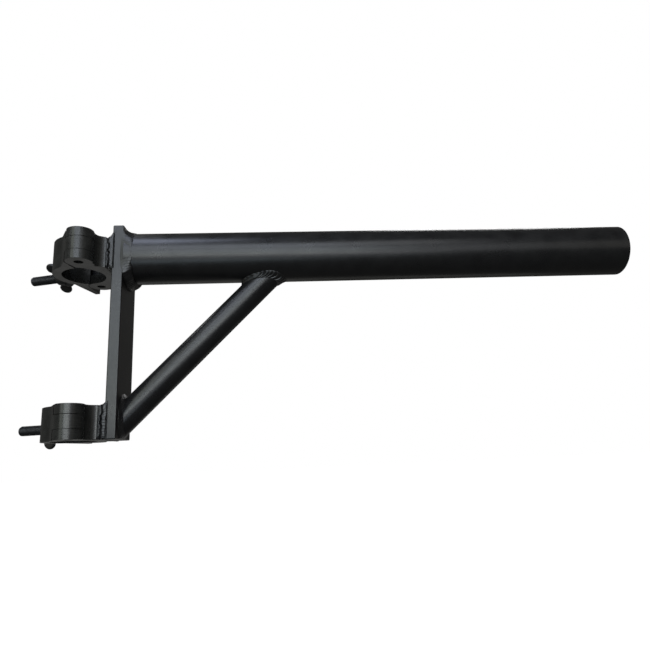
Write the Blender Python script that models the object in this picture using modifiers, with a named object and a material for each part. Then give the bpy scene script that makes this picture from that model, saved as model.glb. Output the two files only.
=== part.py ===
# A truss extension arm: a round arm welded to a flat upright bar and propped by a slanting
# brace, with two half couplers on the bar's back that hang it on a truss chord of 50 mm.
# Units are metres. +X runs along the arm, +Z is up, and the chord stands on the Z axis.

import math

import bmesh
import bpy
from mathutils import Matrix, Vector

# Fits between pieces.
GAP = 0.0003
RUNNING_GAP = 0.0002
RELIEF = 0.0007

# Welded frame. The bar reaches a little above the arm.
ARM_LENGTH = 0.500
ARM_RADIUS = 0.025
ARM_WALL = 0.003
ARM_RIM_CHAMFER = 0.0005
BAR_LENGTH = 0.200
BAR_WIDTH = 0.046
BAR_THICKNESS = 0.010
BAR_EDGE_ROUND = 0.0008
BAR_ABOVE_ARM = 0.0017
BRACE_RADIUS = 0.0125
BRACE_WALL = 0.0025
BRACE_ANGLE = math.radians(45.0)

# Pins and the lobes that carry them.
PIN_RADIUS = 0.0039
PIN_WALL = 0.0017
PIN_SLOT = 0.0012
PIN_RECESS = 0.0014
LOBE_WALL = 0.0079

# Clamp saddles, the upper one a little under the bar's top and the lower one flush with its
# bottom. The lobe at the bolt just reaches into the bore, and the one at the hinge doesn't.
CHORD_RADIUS = 0.025
CLAMP_WIDTH = 0.030
UPPER_CLAMP_BELOW_BAR_TOP = 0.0124
SADDLE_WEB = 0.013
HINGE_WEB = 0.0045
HINGE_BEARING = math.radians(-70.3)
BOLT_LOBE_LIP = 0.00036
BOLT_PIN_BEARING = math.radians(73.2)
SADDLE_MOUTH_BEARING = math.radians(-76.0)
FOOT_OVERHANG = 0.0015
FOOT_STEP = 0.0028
FOOT_DEPTH = 0.0055
NECK_FILLET = 0.006

# Jaw, drawn as it grips a chord and then turned to where it rests with no chord inside.
JAW_OVERCLOSE = math.radians(14.0)
JAW_WALL = 0.008
JAW_SPLIT = 0.0008
JAW_TAIL_BEARING = math.radians(254.0)
KNUCKLE_WIDTH = 0.012
KNUCKLE_CORNER = math.radians(163.0)
EAR_SEAT_STANDOFF = 0.0026
EAR_TIP_THICKNESS = 0.0045
EAR_REACH_PAST_BOLT = 0.0216
EAR_CORNER_ROUND = 0.004
FORK_SIDE_CLEARANCE = 0.0006
FORK_BOTTOM_CLEARANCE = 0.0011

# Swing bolt, washer and wing nut.
BOLT_RADIUS = 0.0049
BOLT_REACH = 0.084
BOLT_TIP_CHAMFER = 0.0016
BOLT_REST_BEARING = math.radians(162.7)
EYE_WALL = 0.0053
EYE_SHOULDER = 0.0003
WASHER_BACKED_OFF = 0.0014
WASHER_RIM = 0.0051
WASHER_THICKNESS = 0.0016
NUT_HEIGHT = 0.010
NUT_BASE_WALL = 0.0036
NUT_BASE_HEIGHT = 0.0015
NUT_TOP_WALL = 0.0023
WING_SPAN_RADIUS = 0.0195
WING_PADDLE_RADIUS = 0.0062
WING_PADDLE_HEIGHT = 0.0098
WING_PADDLE_START = math.radians(-62.0)
WING_PADDLE_END = math.radians(118.0)
WING_THICKNESS = 0.0042
WING_UNDERCUT = 0.0006
WING_TOP_DROP = 0.0018
WING_ROOT_INSET = 0.0017
WING_TOP_INSET = 0.0032
UPPER_WING_ROLL = math.radians(-57.0)
LOWER_WING_ROLL = math.radians(-12.0)

# Weld beads. A bead's leg is how far it reaches along one wall, its throat along the other.
BEAD_HOLLOW = 1.4
BEAD_STEPS = 6
ARM_WELD_LEG = 0.008
ARM_WELD_THROAT = 0.0062
ARM_WELD_SIDE = 0.0013
BRACE_FOOT_WELD_LEG = 0.0052
BRACE_HEAD_WELD_LEG = 0.0057
BRACE_HEAD_WELD_DROP = 0.0052
BRACE_WELD_LIP = 0.0006
FOOT_WELD_REACH_UPPER = 0.0092
FOOT_WELD_BELOW_BAR_TOP = 0.0013
FOOT_WELD_REACH_LOWER = 0.0062
FOOT_WELD_RISE_LOWER = 0.0056
FOOT_WELD_SHOULDER = 0.0014
FOOT_WELD_UNDER = 0.0028
FOOT_WELD_SIDE = 0.0004

# Fineness of the round faces, and how far a cutter runs past what it cuts.
ARM_STEPS = 72
FINE_STEPS = 48
BORE_STEPS = 24
SHARP_ANGLE = math.radians(35.0)
MERGE_DISTANCE = 0.00001
CUT_PAST = 0.002

# Sizes and places that follow from the ones above.
LOBE_RADIUS = PIN_RADIUS + LOBE_WALL
SLOT_RADIUS = LOBE_RADIUS + RELIEF
EYE_RADIUS = PIN_RADIUS + EYE_WALL
PIN_HOLE_RADIUS = PIN_RADIUS + RUNNING_GAP
EYE_WIDTH = 2.0 * (BOLT_RADIUS + EYE_SHOULDER)
FORK_HALF_WIDTH = BOLT_RADIUS + FORK_SIDE_CLEARANCE
THREADED_BORE_RADIUS = BOLT_RADIUS + GAP
FOOT_HALF_WIDTH = BAR_WIDTH / 2 + FOOT_OVERHANG
BAR_BACK = CHORD_RADIUS + SADDLE_WEB
BAR_FRONT = BAR_BACK + BAR_THICKNESS
BAR_TOP = ARM_RADIUS + BAR_ABOVE_ARM
BAR_BOTTOM = BAR_TOP - BAR_LENGTH
UPPER_Z = BAR_TOP - UPPER_CLAMP_BELOW_BAR_TOP - CLAMP_WIDTH / 2
LOWER_Z = BAR_BOTTOM + CLAMP_WIDTH / 2
HINGE_DISTANCE = CHORD_RADIUS + LOBE_RADIUS + HINGE_WEB
HINGE = Vector((math.cos(HINGE_BEARING), math.sin(HINGE_BEARING))) * HINGE_DISTANCE
BOLT_PIN_DISTANCE = CHORD_RADIUS + LOBE_RADIUS - BOLT_LOBE_LIP
BOLT_PIN = Vector((math.cos(BOLT_PIN_BEARING), math.sin(BOLT_PIN_BEARING))) * BOLT_PIN_DISTANCE
BOLT_PIN_IN_JAW = HINGE + Matrix.Rotation(JAW_OVERCLOSE, 2) @ (BOLT_PIN - HINGE)
EAR_SEAT_X = -CHORD_RADIUS - EAR_SEAT_STANDOFF
EAR_TIP_Y = BOLT_PIN.y + EAR_REACH_PAST_BOLT
WASHER_AT = BOLT_PIN.x - EAR_SEAT_X + WASHER_BACKED_OFF
BRACE_SLOPE = Vector((math.cos(BRACE_ANGLE), 0.0, math.sin(BRACE_ANGLE)))
BRACE_FOOT_Z = BAR_BOTTOM + BRACE_RADIUS / math.cos(BRACE_ANGLE)
BRACE_AXIS_LENGTH = -BRACE_FOOT_Z / math.sin(BRACE_ANGLE)

# Turns that stand a flat outline up in a vertical plane.
INTO_XZ = Matrix.Rotation(math.pi / 2, 4, "X")
INTO_YZ = Matrix.Rotation(math.pi / 2, 4, "Z") @ INTO_XZ

for old in list(bpy.data.objects):
    bpy.data.objects.remove(old)
parts = bpy.data.collections.new("truss_extension_arm")
cutters = bpy.data.collections.new("cutters")
bpy.context.scene.collection.children.link(parts)
bpy.context.scene.collection.children.link(cutters)


def material(name, colour, roughness, metallic):
    """A Principled material with one colour, roughness and metallic value."""
    made = bpy.data.materials.new(name)
    made.use_nodes = True
    shader = made.node_tree.nodes["Principled BSDF"]
    shader.inputs["Base Color"].default_value = (*colour, 1.0)
    shader.inputs["Roughness"].default_value = roughness
    shader.inputs["Metallic"].default_value = metallic
    return made


def place(name, mesh, location=(0.0, 0.0, 0.0)):
    """Put a mesh in the scene as an object of its own."""
    made = bpy.data.objects.new(name, mesh)
    made.location = location
    parts.objects.link(made)
    return made


def as_cutter(item):
    """Move a body out of the parts, so that it only cuts, trims or joins others."""
    parts.objects.unlink(item)
    cutters.objects.link(item)
    item.hide_render = True
    item.display_type = "WIRE"
    return item


def bearing_of(vector):
    """The bearing of a plan vector, counterclockwise from +X."""
    return math.atan2(vector[1], vector[0])


def arc(centre, radius, start, end, steps, clockwise=False):
    """Points on a circle from one bearing round to another, both ends included."""
    sweep = (end - start) % (2.0 * math.pi)
    if clockwise:
        sweep = sweep - 2.0 * math.pi
    points = []
    for step in range(steps + 1):
        bearing = start + sweep * step / steps
        points.append((centre[0] + radius * math.cos(bearing), centre[1] + radius * math.sin(bearing)))
    return points


def weld_points(mesh):
    """Join a curve's loose caps to its walls and turn every face outward."""
    body = bmesh.new()
    body.from_mesh(mesh)
    bmesh.ops.remove_doubles(body, verts=body.verts, dist=MERGE_DISTANCE)
    bmesh.ops.recalc_face_normals(body, faces=body.faces)
    body.to_mesh(mesh)
    body.free()


def plate(name, outline, half_thickness, location=(0.0, 0.0, 0.0)):
    """A flat piece from a closed outline, filled and extruded both ways, as a mesh."""
    curve = bpy.data.curves.new(name + "_outline", "CURVE")
    curve.dimensions = "2D"
    curve.fill_mode = "BOTH"
    curve.extrude = half_thickness
    spline = curve.splines.new("POLY")
    spline.points.add(len(outline) - 1)
    for point, (x, y) in zip(spline.points, outline):
        point.co = (x, y, 0.0, 1.0)
    spline.use_cyclic_u = True
    drawn = place(name + "_outline", curve)
    bpy.context.view_layer.update()
    mesh = bpy.data.meshes.new_from_object(drawn.evaluated_get(bpy.context.evaluated_depsgraph_get()))
    bpy.data.objects.remove(drawn)
    weld_points(mesh)
    mesh.name = name
    return place(name, mesh, location)


def turned(name, profile, steps, closed=False):
    """A body turned about Z from (radius, height) points that run down the outer side."""
    mesh = bpy.data.meshes.new(name)
    rows = [(radius, 0.0, height) for radius, height in profile]
    edges = [(index, index + 1) for index in range(len(rows) - 1)]
    if closed:
        edges.append((len(rows) - 1, 0))
    mesh.from_pydata(rows, edges, [])
    made = place(name, mesh)
    screw = made.modifiers.new("turn", "SCREW")
    screw.axis = "Z"
    screw.steps = steps
    screw.render_steps = steps
    screw.use_merge_vertices = True
    screw.merge_threshold = MERGE_DISTANCE
    screw.use_smooth_shade = True
    return made


def box(name, low, high):
    """A box between two corners."""
    body = bmesh.new()
    bmesh.ops.create_cube(body, size=1.0)
    for vert in body.verts:
        for axis in range(3):
            vert.co[axis] = low[axis] if vert.co[axis] < 0.0 else high[axis]
    mesh = bpy.data.meshes.new(name)
    body.to_mesh(mesh)
    body.free()
    return place(name, mesh)


def round_bar(name, radius, start, end, steps=FINE_STEPS):
    """A solid cylinder between two points."""
    start = Vector(start)
    end = Vector(end)
    run = end - start
    body = bmesh.new()
    bmesh.ops.create_cone(
        body, cap_ends=True, segments=steps, radius1=radius, radius2=radius, depth=run.length
    )
    mesh = bpy.data.meshes.new(name)
    body.to_mesh(mesh)
    body.free()
    made = place(name, mesh, (start + end) / 2)
    made.rotation_euler = run.to_track_quat("Z", "Y").to_euler()
    return made


def upright_bar(name, radius, centre, low, high, steps=FINE_STEPS):
    """A solid cylinder standing on a plan point, between two heights."""
    return round_bar(name, radius, (centre.x, centre.y, low), (centre.x, centre.y, high), steps)


def boolean(item, other, operation):
    """Cut, trim or join a body with another, which leaves the parts."""
    step = item.modifiers.new(operation.lower(), "BOOLEAN")
    step.operation = operation
    step.solver = "EXACT"
    step.object = as_cutter(other)
    return item


def finish(item, paint, smooth=True):
    """Give a body its material and shade its round faces smooth."""
    item.data.materials.clear()
    item.data.materials.append(paint)
    if smooth and len(item.data.polygons):
        item.data.shade_smooth()
        item.data.set_sharp_from_angle(angle=SHARP_ANGLE)
    return item


# The arm is a plain open tube that butts against the bar's front face.
def make_arm(paint):
    length = ARM_LENGTH - GAP
    bore = ARM_RADIUS - ARM_WALL
    profile = [
        (ARM_RADIUS - ARM_RIM_CHAMFER, length),
        (ARM_RADIUS, length - ARM_RIM_CHAMFER),
        (ARM_RADIUS, 0.0),
        (bore, 0.0),
        (bore, length),
    ]
    arm = turned("arm_tube", profile, ARM_STEPS, closed=True)
    arm.location = (BAR_FRONT + GAP, 0.0, 0.0)
    arm.rotation_euler = (0.0, math.pi / 2, 0.0)
    return finish(arm, paint)


# The upright is a length of flat bar with its edges just broken.
def make_bar(paint):
    low = (BAR_BACK, -BAR_WIDTH / 2, BAR_BOTTOM)
    high = (BAR_FRONT, BAR_WIDTH / 2, BAR_TOP)
    bar = box("mounting_bar", low, high)
    edge = bar.modifiers.new("broken_edges", "BEVEL")
    edge.width = BAR_EDGE_ROUND
    edge.segments = 2
    return finish(bar, paint, smooth=False)


def brace_point(along):
    """A point on the brace's axis, counted from the bar's front face."""
    return Vector((BAR_FRONT, 0.0, BRACE_FOOT_Z)) + BRACE_SLOPE * along


def arm_cope(name):
    """The arm's outside with a gap round it, as a cutter for what meets it from below."""
    start = (BAR_FRONT - BAR_WIDTH, 0.0, 0.0)
    end = (BAR_FRONT + ARM_LENGTH, 0.0, 0.0)
    return round_bar(name, ARM_RADIUS + GAP, start, end, ARM_STEPS)


# The brace stands flush with the bar's lower end and is coped round the arm's underside.
def make_brace(paint):
    before_bar = 2.0 * BRACE_RADIUS * math.tan(BRACE_ANGLE)
    length = BRACE_AXIS_LENGTH + before_bar
    bore = BRACE_RADIUS - BRACE_WALL
    profile = [(BRACE_RADIUS, length), (BRACE_RADIUS, 0.0), (bore, 0.0), (bore, length)]
    brace = turned("brace_tube", profile, FINE_STEPS, closed=True)
    brace.location = brace_point(-before_bar)
    brace.rotation_euler = (0.0, math.pi / 2 - BRACE_ANGLE, 0.0)
    reach = before_bar + 4.0 * BRACE_RADIUS
    low = (BAR_FRONT - reach, -reach, BRACE_FOOT_Z - reach)
    high = (BAR_FRONT + GAP, reach, BRACE_FOOT_Z + reach)
    boolean(brace, box("brace_foot_cut", low, high), "DIFFERENCE")
    boolean(brace, arm_cope("brace_cope"), "DIFFERENCE")
    return finish(brace, paint)


def bead_face(reach, rise):
    """The hollow face of a fillet bead, as (out, up) points from its top down to its toe."""
    points = []
    for step in range(BEAD_STEPS + 1):
        share = step / BEAD_STEPS
        points.append((reach * share, rise * (1.0 - share) ** BEAD_HOLLOW))
    return points


# A bead runs round the arm where it meets the bar. The arm is wider than the bar, so the
# bead wraps the bar's edges as a thin skin and is full only above and below.
def make_arm_weld(paint):
    inner = ARM_RADIUS + GAP
    profile = [(inner + out, up) for out, up in bead_face(ARM_WELD_THROAT, ARM_WELD_LEG)]
    profile.append((inner, 0.0))
    weld = turned("weld_arm_to_bar", profile, ARM_STEPS, closed=True)
    weld.location = (BAR_FRONT + GAP, 0.0, 0.0)
    weld.rotation_euler = (0.0, math.pi / 2, 0.0)
    side = ARM_RADIUS + ARM_WELD_SIDE
    low = (BAR_FRONT - CUT_PAST, -side, -2.0 * ARM_RADIUS)
    high = (BAR_FRONT + 2.0 * ARM_WELD_LEG, side, BAR_TOP - GAP)
    boolean(weld, box("arm_weld_trim", low, high), "INTERSECT")
    return finish(weld, paint)


def leaning_cone(name, low_radius, high_radius, low, high, slope, stretch):
    """A cone between two heights, stretched along X and leaning that way as it rises."""
    body = bmesh.new()
    bmesh.ops.create_cone(
        body,
        cap_ends=True,
        segments=FINE_STEPS,
        radius1=low_radius,
        radius2=high_radius,
        depth=high - low,
    )
    for vert in body.verts:
        height = vert.co.z + (low + high) / 2
        vert.co = Vector((vert.co.x * stretch + slope * height, vert.co.y, height))
    mesh = bpy.data.meshes.new(name)
    body.to_mesh(mesh)
    body.free()
    return place(name, mesh)


def brace_core(name):
    """The brace's outside with a gap round it, as a cutter for its beads."""
    start = brace_point(-2.0 * BRACE_RADIUS)
    return round_bar(name, BRACE_RADIUS + GAP, start, brace_point(BRACE_AXIS_LENGTH))


# The bead at the brace's foot is a leaning cone laid over onto the bar's front face.
def make_brace_foot_weld(paint):
    cone = leaning_cone(
        "weld_brace_to_bar",
        BRACE_RADIUS + BRACE_FOOT_WELD_LEG,
        BRACE_RADIUS + BRACE_WELD_LIP,
        GAP,
        BRACE_FOOT_WELD_LEG,
        math.tan(BRACE_ANGLE),
        1.0 / math.cos(BRACE_ANGLE),
    )
    swap_x_and_z = Matrix.Rotation(math.pi, 4, Vector((1.0, 0.0, 1.0)))
    cone.matrix_world = Matrix.Translation((BAR_FRONT, 0.0, BRACE_FOOT_Z)) @ swap_x_and_z
    boolean(cone, brace_core("brace_foot_core"), "DIFFERENCE")
    reach = 2.0 * BAR_WIDTH
    low = (BAR_FRONT, -BAR_WIDTH / 2, BAR_BOTTOM)
    high = (BAR_FRONT + reach, BAR_WIDTH / 2, BRACE_FOOT_Z + reach)
    boolean(cone, box("brace_foot_weld_trim", low, high), "INTERSECT")
    return finish(cone, paint)


# The bead at the brace's head widens upward until it meets the arm's side.
def make_brace_head_weld(paint):
    widest = BRACE_RADIUS + BRACE_HEAD_WELD_LEG
    cone = leaning_cone(
        "weld_brace_to_arm",
        BRACE_RADIUS + BRACE_WELD_LIP,
        widest,
        -ARM_RADIUS - BRACE_HEAD_WELD_DROP,
        -math.sqrt(ARM_RADIUS**2 - widest**2),
        1.0 / math.tan(BRACE_ANGLE),
        1.0 / math.sin(BRACE_ANGLE),
    )
    cone.location = (BAR_FRONT + BRACE_AXIS_LENGTH * math.cos(BRACE_ANGLE), 0.0, 0.0)
    boolean(cone, brace_core("brace_head_core"), "DIFFERENCE")
    boolean(cone, arm_cope("brace_head_cope"), "DIFFERENCE")
    return finish(cone, paint)


def neck_fillet_centre(lobe, side):
    """Centre of the hollow that runs from a lobe into the foot's side, outside the metal."""
    centre_y = side * (FOOT_HALF_WIDTH + NECK_FILLET)
    run = math.sqrt((LOBE_RADIUS + NECK_FILLET) ** 2 - (centre_y - lobe.y) ** 2)
    return Vector((lobe.x + run, centre_y))


def mouth_bearing(centre, radius):
    """Where a circle crosses the chord's, on the side that comes later counterclockwise."""
    reach = centre.length
    along = (CHORD_RADIUS**2 - radius**2 + reach**2) / (2.0 * reach)
    return bearing_of(centre) + math.acos(along / CHORD_RADIUS)


def saddle_outline():
    """The saddle in plan, counterclockwise from the foot's near corner."""
    hinge_hollow = neck_fillet_centre(HINGE, -1.0)
    bolt_hollow = neck_fillet_centre(BOLT_PIN, 1.0)
    foot_end = BAR_BACK - GAP
    step_x = BAR_BACK - FOOT_DEPTH
    narrow = FOOT_HALF_WIDTH - FOOT_STEP
    points = [(foot_end, -narrow), (foot_end, narrow), (step_x, narrow), (step_x, FOOT_HALF_WIDTH)]
    into_lobe = bearing_of(BOLT_PIN - bolt_hollow)
    points += arc(bolt_hollow, NECK_FILLET, 1.5 * math.pi, into_lobe, 6, clockwise=True)
    mouth = mouth_bearing(BOLT_PIN, LOBE_RADIUS)
    corner = Vector((math.cos(mouth), math.sin(mouth))) * CHORD_RADIUS
    lobe_start = bearing_of(bolt_hollow - BOLT_PIN)
    points += arc(BOLT_PIN, LOBE_RADIUS, lobe_start, bearing_of(corner - BOLT_PIN), 24)[1:]
    points += arc((0.0, 0.0), CHORD_RADIUS, mouth, SADDLE_MOUTH_BEARING, 28, clockwise=True)[1:]
    edge = Vector(points[-1]) - HINGE
    tangent = bearing_of(edge) + math.acos(LOBE_RADIUS / edge.length)
    points += arc(HINGE, LOBE_RADIUS, tangent, bearing_of(hinge_hollow - HINGE), 24)
    out_of_lobe = bearing_of(HINGE - hinge_hollow)
    points += arc(hinge_hollow, NECK_FILLET, out_of_lobe, 0.5 * math.pi, 6, clockwise=True)[1:]
    points += [(step_x, -FOOT_HALF_WIDTH), (step_x, -narrow)]
    return points


# The saddle is the fixed half of the clamp: a cradle for the chord with a forked lobe at each
# side, one for the jaw's knuckle and one for the swing bolt's eye.
def make_saddle(prefix, z, paint):
    saddle = plate(prefix + "saddle", saddle_outline(), CLAMP_WIDTH / 2, (0.0, 0.0, z))
    reach = CLAMP_WIDTH / 2 + CUT_PAST
    for label, centre, width in (("knuckle", HINGE, KNUCKLE_WIDTH), ("eye", BOLT_PIN, EYE_WIDTH)):
        half = width / 2 + GAP
        slot = upright_bar(prefix + label + "_slot", SLOT_RADIUS, centre, z - half, z + half)
        boolean(saddle, slot, "DIFFERENCE")
        hole_name = prefix + label + "_hole"
        hole = upright_bar(hole_name, PIN_HOLE_RADIUS, centre, z - reach, z + reach, BORE_STEPS)
        boolean(saddle, hole, "DIFFERENCE")
    return finish(saddle, paint)


def jaw_outline():
    """The jaw in plan on a gripped chord, counterclockwise from the ear's seat."""
    outer = CHORD_RADIUS + JAW_WALL
    seat_bearing = math.acos(EAR_SEAT_X / outer)
    points = arc((0.0, 0.0), outer, seat_bearing, JAW_TAIL_BEARING, 22)
    tail = Vector(points[-1]) - HINGE
    tangent = bearing_of(tail) + math.acos(LOBE_RADIUS / tail.length)
    points += arc(HINGE, LOBE_RADIUS, tangent, KNUCKLE_CORNER, 22)
    points.append((JAW_SPLIT, HINGE.y + SLOT_RADIUS * math.sin(KNUCKLE_CORNER)))
    inner_start = 1.5 * math.pi + math.asin(JAW_SPLIT / CHORD_RADIUS)
    mouth = mouth_bearing(BOLT_PIN_IN_JAW, SLOT_RADIUS)
    points += arc((0.0, 0.0), CHORD_RADIUS, inner_start, mouth, 30, clockwise=True)
    relief_start = bearing_of(Vector(points[-1]) - BOLT_PIN_IN_JAW)
    points += arc(BOLT_PIN_IN_JAW, SLOT_RADIUS, relief_start, math.pi, 7, clockwise=True)[1:]
    tip_round = EAR_TIP_THICKNESS / 2
    points += arc((EAR_SEAT_X + tip_round, EAR_TIP_Y - tip_round), tip_round, 0.0, math.pi, 8)
    return [(x - HINGE.x, y - HINGE.y) for x, y in points]


def in_jaw(z):
    """The matrix that takes the jaw's own plan, about its hinge, to where the jaw rests."""
    return Matrix.Translation((HINGE.x, HINGE.y, z)) @ Matrix.Rotation(-JAW_OVERCLOSE, 4, "Z")


def fork_slot(prefix, z):
    """The open slot for the bolt, cut from the ear's tip down to just past the resting bolt."""
    bolt_slope = math.tan(BOLT_REST_BEARING + JAW_OVERCLOSE)
    bolt_y = BOLT_PIN_IN_JAW.y + (EAR_SEAT_X - BOLT_PIN_IN_JAW.x) * bolt_slope
    lowest = bolt_y - BOLT_RADIUS - FORK_BOTTOM_CLEARANCE - HINGE.y
    top = EAR_TIP_Y - HINGE.y + CUT_PAST
    centre = (lowest + FORK_HALF_WIDTH, 0.0)
    outline = arc(centre, FORK_HALF_WIDTH, 0.5 * math.pi, 1.5 * math.pi, 12)
    outline += [(top, -FORK_HALF_WIDTH), (top, FORK_HALF_WIDTH)]
    slot = plate(prefix + "fork_slot", outline, CHORD_RADIUS / 2)
    slot.matrix_world = in_jaw(z) @ Matrix.Translation((EAR_SEAT_X - HINGE.x, 0.0, 0.0)) @ INTO_YZ
    return slot


def ear_window(prefix, z):
    """A slab over the whole jaw whose far corners are rounded, which rounds the ear's corners."""
    half = CLAMP_WIDTH / 2 + GAP
    tip = EAR_TIP_Y - HINGE.y + GAP
    near = -LOBE_RADIUS - CUT_PAST
    corner_y = tip - EAR_CORNER_ROUND
    corner_z = half - EAR_CORNER_ROUND
    outline = [(near, half), (near, -half)]
    outline += arc((corner_y, -corner_z), EAR_CORNER_ROUND, 1.5 * math.pi, 0.0, 6)
    outline += arc((corner_y, corner_z), EAR_CORNER_ROUND, 0.0, 0.5 * math.pi, 6)
    slab = plate(prefix + "ear_window", outline, 2.0 * (CHORD_RADIUS + JAW_WALL))
    slab.matrix_world = in_jaw(z) @ INTO_YZ
    return slab


# The jaw swings on the hinge pin. Its knuckle fills the middle of the saddle's fork, and its
# ear is split by a slot that is open at the end, so that the swing bolt can leave it.
def make_jaw(prefix, z, paint):
    jaw = plate(prefix + "jaw", jaw_outline(), CLAMP_WIDTH / 2, (HINGE.x, HINGE.y, z))
    jaw.rotation_euler = (0.0, 0.0, -JAW_OVERCLOSE)
    half_knuckle = KNUCKLE_WIDTH / 2
    reach = CLAMP_WIDTH / 2 + CUT_PAST
    for label, low, high in (("over", half_knuckle, reach), ("under", -reach, -half_knuckle)):
        cut = upright_bar(prefix + "jaw_" + label + "_cut", SLOT_RADIUS, HINGE, z + low, z + high)
        boolean(jaw, cut, "DIFFERENCE")
    hole = upright_bar(prefix + "jaw_hole", PIN_HOLE_RADIUS, HINGE, z - reach, z + reach, BORE_STEPS)
    boolean(jaw, hole, "DIFFERENCE")
    boolean(jaw, fork_slot(prefix, z), "DIFFERENCE")
    boolean(jaw, ear_window(prefix, z), "INTERSECT")
    return finish(jaw, paint)


# Both pins are rolled spring pins, driven in until they lie just under the faces.
def make_pin(name, centre, z, paint):
    bore = PIN_RADIUS - PIN_WALL
    outer_edge = math.asin(PIN_SLOT / 2 / PIN_RADIUS)
    inner_edge = math.asin(PIN_SLOT / 2 / bore)
    outline = arc((0.0, 0.0), PIN_RADIUS, outer_edge, -outer_edge, 28)
    outline += arc((0.0, 0.0), bore, -inner_edge, inner_edge, 22, clockwise=True)
    pin = plate(name, outline, CLAMP_WIDTH / 2 - PIN_RECESS, (centre.x, centre.y, z))
    pin.rotation_euler = (0.0, 0.0, math.pi / 2)
    return finish(pin, paint)


# The swing bolt turns on its pin by an eye and has a plain shank.
def make_bolt(prefix, z, paint):
    profile = [
        (0.0, BOLT_REACH),
        (BOLT_RADIUS - BOLT_TIP_CHAMFER, BOLT_REACH),
        (BOLT_RADIUS, BOLT_REACH - BOLT_TIP_CHAMFER),
        (BOLT_RADIUS, EYE_RADIUS / 2),
        (0.0, EYE_RADIUS / 2),
    ]
    bolt = turned(prefix + "swing_bolt", profile, 32)
    bolt.location = (BOLT_PIN.x, BOLT_PIN.y, z)
    bolt.rotation_euler = (0.0, math.pi / 2, BOLT_REST_BEARING)
    half = EYE_WIDTH / 2
    eye = upright_bar(prefix + "bolt_eye", EYE_RADIUS, BOLT_PIN, z - half, z + half)
    boolean(bolt, eye, "UNION")
    reach = half + CUT_PAST
    hole = upright_bar(prefix + "bolt_hole", PIN_HOLE_RADIUS, BOLT_PIN, z - reach, z + reach, BORE_STEPS)
    boolean(bolt, hole, "DIFFERENCE")
    return finish(bolt, paint)


def on_bolt(z, along):
    """The matrix of a piece threaded on the bolt, with its Z along the bolt."""
    lay = Matrix.Rotation(BOLT_REST_BEARING, 4, "Z") @ Matrix.Rotation(math.pi / 2, 4, "Y")
    return Matrix.Translation((BOLT_PIN.x, BOLT_PIN.y, z)) @ lay @ Matrix.Translation((0.0, 0.0, along))


# The washer is a plain turned ring.
def make_washer(prefix, z, paint):
    rim = BOLT_RADIUS + WASHER_RIM
    profile = [
        (rim, WASHER_THICKNESS),
        (rim, 0.0),
        (THREADED_BORE_RADIUS, 0.0),
        (THREADED_BORE_RADIUS, WASHER_THICKNESS),
    ]
    washer = turned(prefix + "washer", profile, 40, closed=True)
    washer.matrix_world = on_bolt(z, WASHER_AT)
    return finish(washer, paint)


def wing_outline():
    """Both wings in one outline: a round paddle each side that narrows down to the hub."""
    paddle = (WING_SPAN_RADIUS - WING_PADDLE_RADIUS, WING_PADDLE_HEIGHT)
    root = BOLT_RADIUS + NUT_BASE_WALL - WING_ROOT_INSET
    top = BOLT_RADIUS + NUT_TOP_WALL - WING_TOP_INSET
    top_height = NUT_HEIGHT - WING_TOP_DROP
    right = [(root, WING_UNDERCUT)]
    right += arc(paddle, WING_PADDLE_RADIUS, WING_PADDLE_START, WING_PADDLE_END, 14)
    right.append((top, top_height))
    left = [(-x, y) for x, y in reversed(right)]
    return right + left


# The wing nut is a tapered hub with two cast paddles, rolled as the photograph shows it.
def make_wing_nut(prefix, z, roll, paint):
    base = BOLT_RADIUS + NUT_BASE_WALL
    profile = [
        (0.0, NUT_HEIGHT),
        (BOLT_RADIUS + NUT_TOP_WALL, NUT_HEIGHT),
        (base, NUT_BASE_HEIGHT),
        (base, 0.0),
        (0.0, 0.0),
    ]
    seat = on_bolt(z, WASHER_AT + WASHER_THICKNESS + GAP)
    rolled = seat @ Matrix.Rotation(roll, 4, "Z")
    nut = turned(prefix + "wing_nut", profile, 32)
    nut.matrix_world = rolled
    wings = plate(prefix + "wings", wing_outline(), WING_THICKNESS / 2)
    wings.matrix_world = rolled @ INTO_XZ
    boolean(nut, wings, "UNION")
    start = seat @ Vector((0.0, 0.0, -CUT_PAST))
    end = seat @ Vector((0.0, 0.0, NUT_HEIGHT + CUT_PAST))
    boolean(nut, round_bar(prefix + "nut_bore", THREADED_BORE_RADIUS, start, end, 32), "DIFFERENCE")
    return finish(nut, paint)


# Each saddle's foot is welded to the bar all round: level strips at the sides, a hollow
# fillet on top that climbs the bar, and a small one below where the bar goes on.
def make_foot_weld(prefix, z, reach, rise, under, paint):
    half = CLAMP_WIDTH / 2
    base = z + half + GAP
    start_x = BAR_BACK - FOOT_DEPTH + GAP
    end_x = BAR_BACK - GAP
    side = BAR_WIDTH / 2 + FOOT_WELD_SIDE
    low = (start_x, -FOOT_HALF_WIDTH, z - half - under)
    high = (end_x, FOOT_HALF_WIDTH, base + FOOT_WELD_SHOULDER)
    weld = box("weld_" + prefix + "saddle", low, high)
    for vert in weld.data.vertices:
        if vert.co.x > BAR_BACK - FOOT_DEPTH / 2:
            vert.co.y = math.copysign(side, vert.co.y)
        elif vert.co.z < z:
            vert.co.z = z - half - min(under, GAP)
    outline = [(end_x - out, base + up) for out, up in bead_face(reach, rise)]
    outline.append((end_x, base))
    fillet = plate(prefix + "foot_fillet", outline, side)
    fillet.matrix_world = INTO_XZ
    boolean(weld, fillet, "UNION")
    narrow = FOOT_HALF_WIDTH - FOOT_STEP + GAP
    core_low = (start_x - CUT_PAST, -narrow, z - half - GAP)
    core_high = (end_x + CUT_PAST, narrow, base)
    boolean(weld, box(prefix + "foot_core", core_low, core_high), "DIFFERENCE")
    return finish(weld, paint, smooth=False)


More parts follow.
